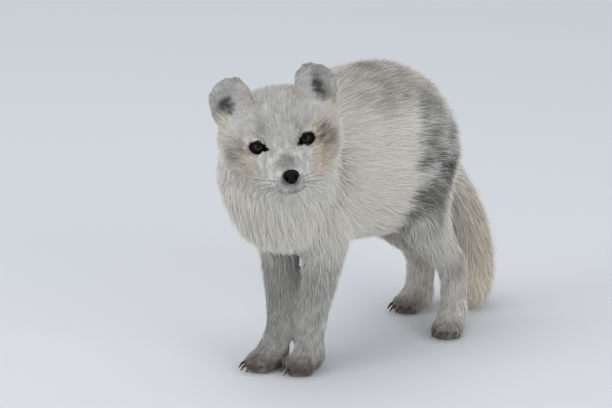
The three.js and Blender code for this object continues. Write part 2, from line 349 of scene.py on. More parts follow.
def from_eye_space(e, side):
    """Place in the head frame of what eye_space gives."""
    return (EYE_PLACE + e @ EYE_AXES) * (side, 1, 1)


def lid_edge(t):
    """The opening of the lids: an ellipse whose inner end is drawn out into the tear duct and
    droops towards the nose."""
    inward = np.clip(-np.cos(t), 0, 1)
    return (LID_HALF * np.cos(t) - (DUCT - LID_HALF) * inward**5,
            LID_HIGH * raised(np.sin(t), 1.12) - DUCT_DROOP * inward**4)


def lid_distance(e):
    """Roughly how many millimetres a place lies outside the opening of the lids."""
    inward = np.clip(-e[:, 0] / DUCT, 0, 1)
    wide = np.where(e[:, 0] > 0, LID_HALF, DUCT)
    high = LID_HIGH * (1 - 0.45 * inward)
    return (np.hypot(e[:, 0] / wide, (e[:, 1] + DUCT_DROOP * inward**3) / high) - 1) * LID_MEAN


def eye_away(q, reach=4, thick=12):
    """Distance from the nearer eye's opening, across its own face."""
    spaces = [eye_space(q, side) for side in SIDES.values()]
    return np.minimum.reduce([
        np.hypot(lid_distance(e) + reach, np.maximum(0, np.abs(e[:, 2]) - thick)) - reach
        for e in spaces])


def sculpted(points, normals):
    """The face's own forms: lids drawn out to a ball a little larger than the eye's, whisker pads
    and a cleft as bells along the normals, and a groove along the mouth between raised lips."""
    q = to_head(points)
    n = normals @ HEAD_TURN
    face = (q[:, 1] < 25) & (np.abs(q[:, 0]) < 60)
    for side in SIDES.values():
        e = eye_space(q, side)
        r = np.hypot(e[:, 0], e[:, 1])
        near = face & (r < 22) & (e[:, 2] > -8)
        out = lid_distance(e)
        ball = np.sqrt(LID_BALL**2 - np.minimum(r, LID_BALL - 0.9) ** 2)
        lid = blend(e[:, 2], np.maximum(ball, e[:, 2] - 1.8), 1 - ease(1.0, 7.0, out))
        lid = np.where(out < 0.25, np.minimum(lid, 2.0), lid)
        e[:, 2] = np.where(near, lid, e[:, 2])
        q = np.where(near[:, None], from_eye_space(e, side), q)
        pad = bell(norm((q * (side, 1, 1) - WHISKER_PAD) / PAD_SIZE), 1)
        q = q + n * (PAD_HIGH * pad * face)[:, None]
    away = nearest_on(MOUTH, q)
    front = face & (away < 12)
    above = q[:, 2] > np.interp(np.abs(q[:, 0]), LIP[:, 0], LIP[:, 2])
    lips = np.where(above, 1.3 * bell(away - 2.6, 2.0), -0.5 * bell(away - 3, 2.0))
    q = q + n * ((lips - 2.2 * bell(away, 1.3)) * front)[:, None]
    cleft = 1.2 * bell(nearest_on(PHILTRUM, q), 1.0)
    return from_head(q - n * (cleft * front)[:, None])


# The skin --------------------

FLESH = [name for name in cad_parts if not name.startswith(("claw", "nose", "eye"))]
SWELL, WELD, SKIN_CELL = 0.45, 0.01, 3.1


def fused_flesh():
    """The flesh nodes, each swelled by a hair so that the cuts between them close, and the two
    ears, remeshed together as one closed skin of small square cells."""
    shell = bmesh.new()
    for name in FLESH:
        if name.startswith("ear"):
            continue
        part = bmesh.new()
        part.from_mesh(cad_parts[name].data)
        bmesh.ops.remove_doubles(part, verts=part.verts, dist=WELD * MM)
        swelled = bpy.data.meshes.new("swelled")
        part.to_mesh(swelled)
        part.free()
        flesh = Surface(swelled)
        put_points(swelled, flesh.points + flesh.normals(by_angle=True) * SWELL)
        shell.from_mesh(swelled)
    for side, sign in SIDES.items():
        ear = new_piece(f"leaf_{side}", *ear_leaf(sign))
        set_outwards(ear)
        shell.from_mesh(ear.data)
        bpy.data.objects.remove(ear)
    fused = bpy.data.objects.new("fused", bpy.data.meshes.new("fused"))
    shell.to_mesh(fused.data)
    shell.free()
    SCENE.collection.objects.link(fused)
    remesh = fused.modifiers.new("remesh", "REMESH")
    remesh.mode = "VOXEL"
    remesh.voxel_size = SKIN_CELL * MM
    graph = bpy.context.evaluated_depsgraph_get()
    cells = bpy.data.meshes.new_from_object(fused.evaluated_get(graph))
    bpy.data.objects.remove(fused)
    surface = Surface(cells)
    keep = largest_island(surface)
    quads = read(cells.loops, "vertex_index", 1).reshape(-1, 4)
    quads = quads[keep[quads[:, 0]]]
    return new_piece("skin", surface.points[keep], (np.cumsum(keep) - 1)[quads])


def largest_island(surface):
    """Which vertices belong to the largest connected piece: labels spread along the edges, the
    lowest winning, until none changes."""
    label = np.arange(len(surface.points))
    before = label - 1
    while (label != before).any():
        before = label.copy()
        np.minimum.at(label, surface.edges[:, 0], before[surface.edges[:, 1]])
        np.minimum.at(label, surface.edges[:, 1], before[surface.edges[:, 0]])
        label = label[label]
    return label == np.bincount(label).argmax()


def refine(mesh, chosen):
    """Cut in four the faces whose centres, in the head frame, the function chosen picks."""
    pick = chosen(to_head(read(mesh.polygons, "center", 3, float) / MM - FOX_ORIGIN))
    pick = np.repeat(pick, read(mesh.polygons, "loop_total", 1)[:, 0])
    edges = np.unique(read(mesh.loops, "edge_index", 1)[pick])
    work = bmesh.new()
    work.from_mesh(mesh)
    work.edges.ensure_lookup_table()
    bmesh.ops.subdivide_edges(work, edges=[work.edges[i] for i in edges], cuts=1,
                              use_grid_fill=True)
    work.to_mesh(mesh)
    work.free()


def in_box(q, middle, half):
    """Which places lie less than half away from the middle along every axis."""
    return (np.abs(q - middle) < half).all(1)


skin = fused_flesh()
surface = Surface(skin.data)
q = to_head(surface.points)
keep_form = np.maximum.reduce([ease(6, -22, q[:, 1]), ear_share(q),
                               ease(30, 15, surface.points[:, 2])])
share = 0.5 * (1 - 0.85 * keep_form)[:, None]
put_points(skin.data, smoothed(surface.points, surface.edges, 16, share))
refine(skin.data, lambda c: in_box(c, (0, -50, 0), (55, 76, 62)) | (ear_share(c) > 0.1))
refine(skin.data, lambda c: in_box(c, (0, -50, -14), (40, 64, 36)))
surface = Surface(skin.data)
edges = surface.edges
points = smoothed(surface.points, edges, 3, 0.4)
share = 0.5 * ear_share(to_head(points), ROUND_EAR)[:, None]
points = smoothed(points, edges, 26, share)
points = sculpted(points, surface.normals(points))
points = coat_points = smoothed(points, edges, 1, 0.3)


# How the coat grows --------------------

# Per leg and side: shoulder, elbow, wrist and paw, or hip, knee, hock, heel and paw.
FORELEGS = [[(38, -98, 196), (28, -86, 136), (13, -91, 50), (14, -116, 10)],
            [(-38, -98, 196), (-30, -93, 136), (-16, -107, 50), (-25, -134, 10)]]
HIND_LEGS = [[(36, 84, 194), (48, 62, 138), (54, 118, 68), (63, 98, 24), (63, 86, 10)],
             [(-34, 92, 194), (-38, 84, 138), (-24, 160, 68), (-21, 142, 24), (-21, 130, 10)]]
# Each row: the stretch of body it goes with (two ends and a radius), which way the coat lies there,
# how deep the coat is and how long a tuft is, all in millimetres.
GROWTH = [
    ("trunk", (0, -75, 226), (0, 105, 222), 84, (0, 1, -0.25), 19, 34),
    ("trunk", (0, 105, 222), (0, 142, 204), 60, (0, 0.7, -0.75), 18, 30),
    ("trunk", (3, -110, 205), (8, -138, 228), 66, (0.05, 0.15, -1), 22, 36),
    ("neck", (12, -142, 245), (20, -158, 284), 60, (0, 0.75, -0.75), 21, 34),
    ("head", (57, -198, 288), (24, -165, 288), 52, (0, 1, 0), 6, 11),
    ("tail", (0, 142, 192), (3, 166, 150), 30, (0.05, 0.45, -0.9), 17, 32),
    ("tail", (3, 166, 150), (13, 183, 80), 40, (0.15, 0.25, -1), 22, 40),
    ("tail", (13, 183, 80), (34, 184, 14), 36, (0.3, 0.0, -1), 18, 34),
]
for (shoulder, elbow, wrist, paw), (hip, knee, hock, heel, toes) in zip(FORELEGS, HIND_LEGS):
    GROWTH += [
        ("leg", shoulder, elbow, 34, (0, 0.3, -1), 13, 24),
        ("leg", elbow, wrist, 17, (0, 0.18, -1), 4.5, 12),
        ("foot", wrist, paw, 15, (0, -0.35, -1), 3, 10),
        ("leg", hip, knee, 42, (0, 0.45, -1), 15, 27),
        ("leg", knee, hock, 22, (0, 0.35, -1), 8, 17),
        ("leg", hock, heel, 13, (0, 0, -1), 4, 11),
        ("foot", heel, toes, 13, (0, -0.5, -1), 3, 10),
    ]
MIXING = 7.0
BELLY_DEPTH, BELLY_TUFT = 13, 30
CROWN_DEPTH, CHEEK_MORE, MUZZLE_DEPTH, EYE_DEPTH, EAR_DEPTH = 5.5, 8.0, 1.9, 1.6, 1.3
EAR_BASE, EAR_BASE_SIZE, EAR_BASE_TUFT, EAR_TUFT = (45, 29, 30), (10, 12, 10), 4.0, 4.2


def growth_shares(points):
    """Soft shares of the rows of GROWTH: exp of minus how much farther than the nearest each is."""
    gaps = np.stack([nearest_on(np.array(row[1:3]), points) - row[3] for row in GROWTH], -1)
    shares = np.exp(-(gaps - gaps.min(1, keepdims=True)) / MIXING)
    return shares / shares.sum(1, keepdims=True)


def share_of(*names):
    """The shares of all rows of GROWTH with these names, together."""
    return shares[:, [row[0] in names for row in GROWTH]].sum(1)


def column(k):
    """One column of GROWTH as an array."""
    return np.array([row[k] for row in GROWTH], float)


def head_coat(q):
    """Depth of the coat and length of its tufts on the head: flat on the muzzle and round the
    eyes, deepest on the cheeks and under the jaw."""
    cheek = ease(22, 46, np.abs(q[:, 0])) * ease(22, -4, q[:, 2])
    jaw = ease(-26, -48, q[:, 2])
    depth = CROWN_DEPTH + CHEEK_MORE * np.clip(cheek + jaw, 0, 1) * ease(-10, 28, q[:, 1])
    depth = blend(depth, MUZZLE_DEPTH, ease(2, -24, q[:, 1]))
    depth = blend(np.minimum(depth, EYE_DEPTH), depth, ease(2, 15, eye_away(q)))
    base = bell(np.column_stack([np.abs(q[:, 0]), q[:, 1:]]) - EAR_BASE, EAR_BASE_SIZE).prod(1)
    length = blend(1.9 * depth + 1.2, EAR_BASE_TUFT, base)
    return blend(depth, EAR_DEPTH, ear_share(q)), blend(length, EAR_TUFT, ear_share(q))


def head_lie(q):
    """Which way the coat lies on the head: away from the nose, round the eyes and up the ears."""
    away = unit(q - (0, -60, -20)) + (0, 0.3, 0)
    for side in SIDES.values():
        e = eye_space(q, side)
        ring = unit((e * (1, 1, 0)) @ EYE_AXES * (side, 1, 1))
        near = (ease(15, 3, lid_distance(e)) * (np.abs(e[:, 2] - 4) < 14))[:, None]
        against = np.minimum(dot(away, ring), 0)[:, None]
        away = away + near * (0.6 - 1.3 * against) * ring
        outwards = (np.clip(ear_space(q, side)[1] / 25, -1, 1) * 0.35)[:, None]
        mine = (ear_share(q) * (q[:, 0] * side > 0))[:, None]
        away = blend(away, (EAR_UP + EAR_ACROSS * outwards) * (side, 1, 1), mine)
    return unit(away) @ HEAD_TURN.T


normals = surface.normals(points)
q = to_head(points)
shares = growth_shares(points)
head = np.maximum.reduce([share_of("head"), ear_share(q),
                          ease(8, -4, q[:, 1]) * (points[:, 2] > 200)])
belly = ease(165, 135, points[:, 2]) * (shares[:, 0] + shares[:, 2])
depth = blend(shares @ column(5), BELLY_DEPTH, belly)
length = blend(shares @ column(6), BELLY_TUFT, belly)
head_depth, head_length = head_coat(q)
length = blend(length, head_length, head)
depth = smoothed(blend(depth, head_depth, head)[:, None], edges, 6)
depth = depth * (1 - 0.8 * ease(7, 2, points[:, 2:]))

nape = share_of("neck") * ease(-0.2, 0.7, normals @ (0, 0.6, 0.8))
lie = unit(shares @ column(4)) + nape[:, None] * (0, 0.6, 0.5)
lie = blend(lie, head_lie(q), ease(0.25, 0.75, head)[:, None])
lie = unit(flattened(smoothed(unit(lie), edges, 5), normals))

skin_points = smoothed(points - normals * depth, edges, 12, 0.5 * ease(2.5, 8, depth))
put_points(skin.data, skin_points)


# Markings and painted shade --------------------

def shade(red, green, blue):
    """Linear colour from the values a paint chart gives, 0 to 255."""
    c = np.array([red, green, blue]) / 255.0
    return np.where(c <= 0.04045, c / 12.92, ((c + 0.055) / 1.055) ** 2.4)


CREAM = shade(228, 224, 214)
CHALK = shade(236, 235, 231)
SILVER = shade(200, 198, 194)
SLATE = shade(128, 126, 122)
CHARCOAL = shade(70, 68, 66)
INK = shade(20, 17, 16)
TAN = shade(207, 187, 158)
BROWN = shade(128, 112, 98)
UMBER = shade(92, 82, 74)
ROSE_GREY = shade(168, 156, 150)

# The middle line of the painted shade in each ear's hollow, in millimetres across and up.
EAR_HOLLOW_SHADE = {-1: np.array([(-13, 3), (-5, 9), (3, 17), (9, 27)]),
              1: np.array([(16, 3), (12, 12), (7, 22), (3, 33)])}
# The dark patch over hip and thigh: heights, and how far back its front and rear edges lie there.
PATCH_FRONT = (110, 127, 158, 189, 220, 246, 265, 284, 300), (44, 26, 4, -3, -6, 0, 8, 20, 45)
PATCH_REAR = (110, 145, 182, 209, 227, 250, 265, 284, 300), (60, 62, 74, 92, 92, 88, 80, 62, 48)


def hashed(cells, salt):
    """Numbers from 0 to 1 that look random but belong to whole-number cells."""
    c = cells.astype(np.int64)
    v = (c[..., 0] * 73856093) ^ (c[..., 1] * 19349663) ^ (c[..., 2] * 83492791)
    v = v ^ (salt * 2654435761)
    v = (v ^ (v >> 13)) * 1274126177 & 0xFFFFFFFF
    return ((v ^ (v >> 16)) & 0xFFFFFF) / float(0x1000000)


def mottle(points, cell, salt):
    """Smooth lattice noise from 0 to 1: the values of the eight corners of a cell, eased."""
    place = points / cell
    base = np.floor(place)
    u = ease(0, 1, place - base)
    total = np.zeros(len(points))
    for corner in np.ndindex(2, 2, 2):
        weight = np.where(corner, u, 1 - u).prod(1)
        total += weight * hashed(base + corner, salt)
    return total


def spot(points, centre, radii):
    """1 at the centre of an ellipsoid, fading to 0 at its edge."""
    return ease(1, 0.35, norm((points - centre) / radii))


def layered(colour, layers):
    """Tones laid one over the other, each by its own amount, from 0 to 1, at every place."""
    for tone, amount in layers:
        colour = blend(colour, tone, np.clip(amount, 0, 1)[:, None])
    return colour


def body_layers(points, normals, body):
    """Tones of trunk, legs and tail: eased bands along the axes, broken up by lattice noise."""
    fine, mid, wide = mottle(points, 5.0, 1), mottle(points, 14.0, 2), mottle(points, 40.0, 3)
    x, y, z = points.T
    back = ease(272, 306, z) * ease(-95, -40, y) * body
    front_edge, rear_edge = np.interp(z, *PATCH_FRONT), np.interp(z, *PATCH_REAR)
    patch = (ease(-5, 8, y - front_edge + 12 * (mid - 0.5)) * ease(10, -12, y - rear_edge)
             * ease(128, 152, z) * ease(302, 282, z) * ease(16, 36, np.abs(x))) * body
    dark = 1.2 * bell(z - 212, 34) + 0.6 * bell(z - 164, 14) * (y < 60)
    low = ease(160, 120, z) * share_of("leg", "foot")
    fore = (y < 0) * 1.0
    facing = dot(normals, unit(np.stack([np.where(x > 0, 0.62, 0.2), np.full(len(x), -0.85),
                                         np.full(len(x), 0.1)], -1)))
    band = mottle(points * (1, 1, 2.2), 9.0, 12)
    inside = ease(0.2, 0.8, -normals[:, 0] * np.sign(x))
    toes = ease(30, 11, z) * share_of("foot")
    tail = share_of("tail")
    core = ease(0.2, 0.9, np.abs(normals @ unit(np.array([0.9, -0.35, 0.1]))) + 0.4 * (mid - 0.5))
    return [
        (SILVER, body * (0.22 * wide + 0.12 * mid)),
        # painted shade under the chest: more grey low on the front of the trunk
        (SILVER, ease(190, 140, z) * ease(-60, -110, y) * body * 0.5),
        # the saddle
        (ROSE_GREY, back * (0.32 + 0.65 * ease(0.4, 0.75, 0.7 * mid + 0.3 * fine))),
        (SLATE, back * ease(0.5, 0.8, fine * 0.5 + mid * 0.5) * 0.45),
        # the patch of darker coat over hip and thigh, with a sharp edge in front
        (SILVER, patch * 0.85),
        (SLATE, patch * ease(0.33, 0.62, 0.6 * mid + 0.4 * fine) * 0.88),
        (CHARCOAL, patch * dark * ease(0.40, 0.62, 0.5 * mid + 0.5 * fine) * 0.85),
        # the legs are grey in front and pale along their edges; the right foreleg, on the far side
        # from the camera, gets more grey down its front: painted shade where the left foreleg shades
        # it
        (SILVER, low * (0.12 + 0.1 * fore)),
        (SLATE, low * ease(0.2, 0.9, facing + 0.5 * (mid - 0.5))
         * (0.15 + 0.38 * fore * np.where(x > 0, 0.45, 1.2))),
        (SLATE, low * fore * ease(0.55, 0.75, band) * 0.3),
        (ROSE_GREY, inside * low * (y > 40) * 0.3),
        (ROSE_GREY, spot(points, (66, 100, 84), (18, 24, 18)) * 0.6 * low),
        (ROSE_GREY, toes * 0.8),
        (UMBER, toes * ease(0.3, 0.55, 0.6 * fine + 0.4 * mid) * 0.85),
        # the tail has tan edges and a grey-brown core where it faces the sides, partly painted shade
        # of the tail hanging behind the legs; it is paler towards the bottom
        (TAN, tail * 0.3),
        (CREAM * (1.12, 1.06, 0.98), tail * ease(150, 60, z) * 0.5),
        (ROSE_GREY, tail * core * (0.10 + 0.25 * mid) * ease(60, 180, z)),
    ]


def ear_layers(q, normals, fine, sign):
    """Tones of one ear: tan behind, grey in front, painted shade dark round the middle line of its
    hollow, and a brown rim."""
    h, a, _ = ear_space(q, sign)
    ear = ear_share(q) * (q[:, 0] * sign > 0)
    inner = ear * ease(0.0, 0.5, normals @ HEAD_TURN @ (EAR_FRONT * (sign, 1, 1)))
    from_edge = ear_width(h) - np.abs(a)
    rim = ease(4.5, 1.5, np.minimum(from_edge, (1 - h) * EAR_HEIGHT))
    from_shade_line = nearest_on(EAR_HOLLOW_SHADE[sign], np.stack([a, h * EAR_HEIGHT], -1))
    stripe = mottle(np.stack([a * 0.35, h * EAR_HEIGHT, a * 0], -1) @ turn("Z", 35), 4.0, 9)
    return [
        (TAN, (ear - inner) * 0.4),
        (SILVER, inner * 0.45),
        (SLATE, inner * 0.4 * ease(0.45, 0.95, h) * ease(0.3, 0.7, fine)),
        # painted shade in the ear's hollow, darkest along its middle line
        (SLATE, inner * ease(20, 6, from_shade_line + 12 * (stripe - 0.5)) * ease(-8, 2, a) * 0.5),
        (CHARCOAL, inner * ease(9.5, 1, from_shade_line + 8 * (stripe - 0.4)) * 0.9),
        (BROWN, ear * rim * 0.6 * ease(0.2, 0.5, h)),
        (TAN, ear * ease(9, 4, from_edge) * 0.3),
    ]


def head_layers(points, normals, head):
    """Tones of the head: streaks along the crown, ellipsoid spots on bridge and cheeks broken by
    wisps, the ears, and dark lips and lids by their distance."""
    q = to_head(points)
    fine = mottle(points, 5.0, 1)
    streak = mottle(q * (1.0, 0.18, 0.18), 2.2, 5)
    aside = np.abs(q[:, 0])
    crown = head * ease(36, 14, aside) * ease(-12, 8, q[:, 2]) * (1 - ear_share(q))
    lips = nearest_on(MOUTH, q)
    layers = [
        (CHALK, head * 0.75),
        (SILVER, head * (0.45 + 0.3 * fine)),
        (SLATE, head * ease(5, -25, q[:, 1]) * 0.30),
        (SILVER, crown * (0.3 + 0.5 * ease(0.35, 0.8, streak))),
        (SLATE, crown * ease(0.50, 0.8, streak) * 0.32),
        (CHALK, head * ease(0.45, 0.75, streak) * ease(2, -14, q[:, 1]) * 0.55),
        (BROWN, spot(q, (0, -42, -10), (15, 26, 14)) * 0.5 * head),
        (SLATE, spot(q, (0, -40, -9), (11, 20, 10)) * 0.5 * head),
    ]
    for sign, strong in (1, 1.0), (-1, 0.65):
        p = q * (sign, 1, 1)
        wisp = mottle(p * (0.16, 0.3, 1.0), 2.8, 7)
        layers += [
            (TAN, spot(p, (40, 8, -18), (26, 30, 42)) * (0.45 + 0.5 * wisp) * head * strong),
            (TAN, spot(p, (55, 29, 16), (14, 15, 16)) * head),
            (BROWN, spot(p, (57, 31, 19), (9, 11, 11)) * 0.3 * head * strong),
            (CHARCOAL, spot(p, (46, 31, 32), (8, 11, 8)) * ease(0.2, 0.6, wisp) * 0.8),
            (UMBER, spot(p, (42, 10, -5), (12, 16, 16)) * ease(0.26, 0.46, wisp) * head * strong),
            (SLATE, spot(p, (43, 10, -22), (15, 18, 15)) * ease(0.35, 0.6, wisp) * 0.75 * head),
            (BROWN, spot(p, (24, -14, -26), (12, 16, 10)) * ease(0.5, 0.7, wisp) * 0.3 * head),
        ] + ear_layers(q, normals, fine, sign)
    return layers + [
        (UMBER, ease(3.6, 0.8, lips) * 0.95),
        (BROWN, ease(8, 2, lips) * 0.6 * ease(22, 12, aside)),
        (UMBER, ease(2.0, 0.6, nearest_on(PHILTRUM, q)) * 0.8),
        (ROSE_GREY, ease(15, 8, norm(q - (0, -64, -24))) * 0.4),
        (INK, ease(2.6, 1.8, eye_away(q))),
    ]


skin_colour = layered(np.tile(CREAM, (len(points), 1)),
                      body_layers(points, normals, 1 - head)
                      + head_layers(points, normals, head))


def paint(mesh, colour):
    """The markings as a colour attribute named Markings."""
    layer = mesh.color_attributes.new("Markings", "FLOAT_COLOR", "POINT")
    rgba = np.column_stack([colour, np.ones(len(colour))])
    layer.data.foreach_set("color", rgba.astype(np.float32).ravel())


def set_inputs(node, **values):
    """Give some of a shader node's inputs their values; _ stands for a space in a name."""
    for name, value in values.items():
        node.inputs[name.replace("_", " ")].default_value = value
    return node


def new_material(name, **values):
    """A material with a principled finish: itself, its tree's nodes and links, and the finish."""
    material = bpy.data.materials.new(name)
    material.use_nodes = True
    tree = material.node_tree
    return material, tree.nodes, tree.links, set_inputs(tree.nodes["Principled BSDF"], **values)


def add_grain(nodes, links, finish, scale, detail, bump, height):
    """Fine noise on object coordinates, also as relief height mm high where bump is above 0."""
    noise = set_inputs(nodes.new("ShaderNodeTexNoise"), Scale=scale, Detail=detail)
    links.new(nodes.new("ShaderNodeTexCoord").outputs["Object"], noise.inputs["Vector"])
    if bump:
        relief = set_inputs(nodes.new("ShaderNodeBump"), Strength=bump, Distance=height * MM)
        links.new(noise.outputs["Fac"], relief.inputs["Height"])
        links.new(relief.outputs["Normal"], finish.inputs["Normal"])
    return noise.outputs["Fac"]


def add_markings(nodes):
    """The markings that paint has stored, as a colour."""
    tone = nodes.new("ShaderNodeAttribute")
    tone.attribute_name = "Markings"
    return tone.outputs["Color"]


def coat_material(name, roughness, grain, unevenness, bump=0.0):
    """Fur: the markings times a factor near 1 that follows fine noise on object coordinates."""
    material, nodes, links, finish = new_material(
        name, Roughness=roughness, Specular_IOR_Level=0.25, Sheen_Weight=0.15,
        Sheen_Roughness=0.5)
    noise = add_grain(nodes, links, finish, grain, 3.0, bump, 0.6)
    levels = set_inputs(nodes.new("ShaderNodeMapRange"), To_Min=1.0 - unevenness,
                        To_Max=1.0 + unevenness * 0.6)
    links.new(noise, levels.inputs["Value"])
    scaled = nodes.new("ShaderNodeVectorMath")
    scaled.operation = "SCALE"
    links.new(add_markings(nodes), scaled.inputs[0])
    links.new(levels.outputs["Result"], scaled.inputs["Scale"])
    links.new(scaled.outputs["Vector"], finish.inputs["Base Color"])
    return material


# The skin under the coat takes the markings darkened: painted shade between the hairs.
PAINTED_SHADE_UNDER_COAT = 0.8
paint(skin.data, skin_colour * PAINTED_SHADE_UNDER_COAT)
skin.data.materials.append(coat_material("downy_skin", 0.9, 900.0, 0.25, 0.6))
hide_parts(*FLESH)
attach(skin, "root")


# The skin's own unwrap: flat patches cut where its surface turns, in one UV map.
skin.data.uv_layers.new(name="OFBake")
bpy.ops.object.select_all(action="DESELECT")
skin.select_set(True)
bpy.context.view_layer.objects.active = skin
bpy.ops.object.mode_set(mode="EDIT")
bpy.ops.mesh.select_all(action="SELECT")
bpy.ops.uv.smart_project(angle_limit=math.radians(70), island_margin=0.002)
bpy.ops.object.mode_set(mode="OBJECT")
skin_uv = read(skin.data.uv_layers["OFBake"].data, "uv", 2, np.float32)
skin.data.calc_loop_triangles()
triangle_uv = skin_uv[read(skin.data.loop_triangles, "loops", 3)]
triangles = read(skin.data.loop_triangles, "vertices", 3)
TABLE = surface.neighbours()


# The coat --------------------

PATCH = 0.003
WALK_STEPS = 16
GUARD_HAIRS = 0.10
FLOOR_GAP = 0.35
FUR = coat_material("fur", 0.75, 220.0, 0.10)
rng = np.random.default_rng(7)


def walked(start, targets):
    """The vertex of the coat's outline nearest each target, found by stepping from a start vertex
    to whichever neighbour lies nearer."""
    here = start.copy()
    for _ in range(WALK_STEPS):
        around = TABLE[here]
        gaps = norm(coat_points[around] - targets[:, None])
        best = around[np.arange(len(here)), gaps.argmin(1)]
        own = norm(coat_points[here] - targets)
        here = np.where(gaps.min(1) < own - 1e-6, best, here)
    return here


def gathered(points, cell, salt):
    """The nearest of a cloud of centres, one at a hashed place in each cell: where tufts meet."""
    base = np.floor(points / cell)
    best = np.full(len(points), 1e9)
    centre = np.zeros_like(points)
    tone = np.zeros(len(points))
    for step in np.ndindex(3, 3, 3):
        at = base + step - 1
        place = (at + np.stack([hashed(at, salt + m) for m in (1, 2, 3)], -1)) * cell
        gap = norm(points - place)
        nearer = gap < best
        best = np.where(nearer, gap, best)
        centre = np.where(nearer[:, None], place, centre)
        tone = np.where(nearer, hashed(at, salt + 4), tone)
    return centre, tone


def sown(weight, count):
    """Roots spread evenly over the skin, as many to a triangle as its area times its weight."""
    a, b, c = (coat_points[triangles[:, k]] for k in range(3))
    area = 0.5 * norm(np.cross(b - a, c - a)) * weight[triangles].mean(1)
    total = np.cumsum(area)
    picks = np.searchsorted(total, (np.arange(count) + rng.random(count)) / count * total[-1])
    picks = np.minimum(picks, len(triangles) - 1)
    u, v = rng.random(count), rng.random(count)
    fold = u + v > 1
    u, v = np.where(fold, 1 - u, u), np.where(fold, 1 - v, v)
    return picks, np.stack([1 - u - v, u, v], -1)


def as_coat(piece, colour, uv):
    """Give a piece its markings, its fur and an OFBake map with one place for each vertex."""
    paint(piece.data, colour)
    layer = piece.data.uv_layers.new(name="OFBake")
    index = read(piece.data.loops, "vertex_index", 1)[:, 0]
    layer.data.foreach_set("uv", uv.clip(0, 1).reshape(-1, 2)[index].astype(np.float32).ravel())
    piece.data.materials.append(FUR)
    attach(piece, "root")


def tufts(name, weight, count, width, cell, clump, stray, uneven, rise=0.0, lie=lie,
          length=length):
    """A piece of coat: each tuft is a thin tapered blade along a quadratic curve that leaves the
    skin at its root, rises through the coat's depth and lies down along the coat's outline; the
    tips of one clump lean together."""
    picks, share = sown(weight, count)
    corner = triangles[picks]

    def at_root(values):
        return np.einsum("ij,ijk->ik", share, values[corner])

    def varied(amount):
        return amount * rng.standard_normal(count).clip(-2.2, 2.2)

    root = at_root(skin_points)
    outline = at_root(coat_points)
    normal = unit(at_root(normals))
    flow = at_root(lie)
    deep = at_root(depth)[:, 0]
    long = at_root(length[:, None])[:, 0] * (1 + varied(0.2))
    cross = unit(np.cross(normal, flow))
    flow = unit(flow + cross * varied(1.6 * stray)[:, None])
    flow = unit(flattened(flow, normal))
    reach = outline + flow * long[:, None]
    landing = walked(corner[:, 0], reach)
    over = normals[landing]
    tip = coat_points[landing] + flattened(reach - coat_points[landing], over)
    centre, tone = gathered(outline, cell, len(name))
    drawn = flattened(centre - outline, normal)
    tip += drawn * (clump * (0.6 + 0.4 * rng.random(count)))[:, None]
    sink = deep * (0.02 + 0.36 * rng.random(count) ** 1.6)
    guard = rng.random(count) < GUARD_HAIRS
    stand = (rise + np.maximum(varied(0.35 * stray), 0) + 0.12 * guard) * long
    tip += over * (stand - sink)[:, None]
    middle = root + normal * (deep * 0.75)[:, None] + (tip - root) * 0.30
    middle += cross * (varied(0.05) * long)[:, None]
    halfway = bent(0.5, root, middle, tip)
    axis = unit(tip - root)
    roll = varied(0.35)[:, None]
    broad = unit(np.cross(axis, normal + flow * 0.3))
    broad = broad * np.cos(roll) + np.cross(axis, broad) * np.sin(roll)
    half = broad * (width * (0.7 + 0.6 * rng.random(count)) / 2)[:, None]
    blade = np.stack([root - 0.8 * half, root + 0.8 * half, halfway - half, halfway + half, tip], 1)
    blade[..., 2] = np.maximum(blade[..., 2], FLOOR_GAP)
    start = (np.arange(count) * 5)[:, None]
    piece = new_piece(name, blade.reshape(-1, 3), start + [0, 1, 3, 2], start + [2, 3, 4])
    vary = 1 + varied(0.05 + 0.35 * uneven) + uneven * 1.6 * (tone - 0.5)
    along = np.array([0.9 - uneven, 0.9 - uneven, 1.0, 1.0, 1.03])[:, None]
    colour = (at_root(skin_colour) * vary[:, None])[:, None] * along
    patch = PATCH * np.array([(-0.5, -0.5), (0.5, -0.5), (-0.5, 0), (0.5, 0), (0, 0.5)])
    uv = np.einsum("ij,ijk->ik", share, triangle_uv[picks])[:, None] + patch
    as_coat(piece, np.clip(colour, 0, 0.95).reshape(-1, 3), uv)


bare = ease(2.1, 2.9, eye_away(q)) * ease(0.98, 1.10, norm(
    (q - NOSE_PLACE) / (9.3, 11.5, 8.0))) * ease(0.3, 1.1, nearest_on(MOUTH, q))
ear = ear_share(q)
face = head * ease(30, 10, q[:, 1]) * ease(50, 36, np.abs(q[:, 0])) * (1 - ear)
muzzle = face * ease(0, -16, q[:, 1])
tail = share_of("tail")
leg = share_of("leg", "foot") * ease(176, 150, points[:, 2]) * (1 - ease(0.3, 0.6, tail))
trunk = np.clip(1 - head - tail - leg, 0, 1)
y = points[:, 1]
off_floor = ease(0.5, 1.5, points[:, 2])
few = 1.0
inside_ear = np.zeros(len(points))
ear_sweep = lie.copy()
for side in SIDES.values():
    h, a, _ = ear_space(q, side)
    facing = normals @ HEAD_TURN @ (EAR_FRONT * (side, 1, 1))
    mine = ear * (q[:, 0] * side > 0) * ease(0.1, 0.6, facing)
    inside_ear += mine * ease(-9, -15, a) * ease(0.8, 0.55, h) * ease(0.12, 0.25, h)
    sweep = (EAR_ACROSS * 0.9 + EAR_UP * 0.45) * (side, 1, 1)
    ear_sweep = np.where((mine > 0)[:, None], sweep @ HEAD_TURN.T, ear_sweep)
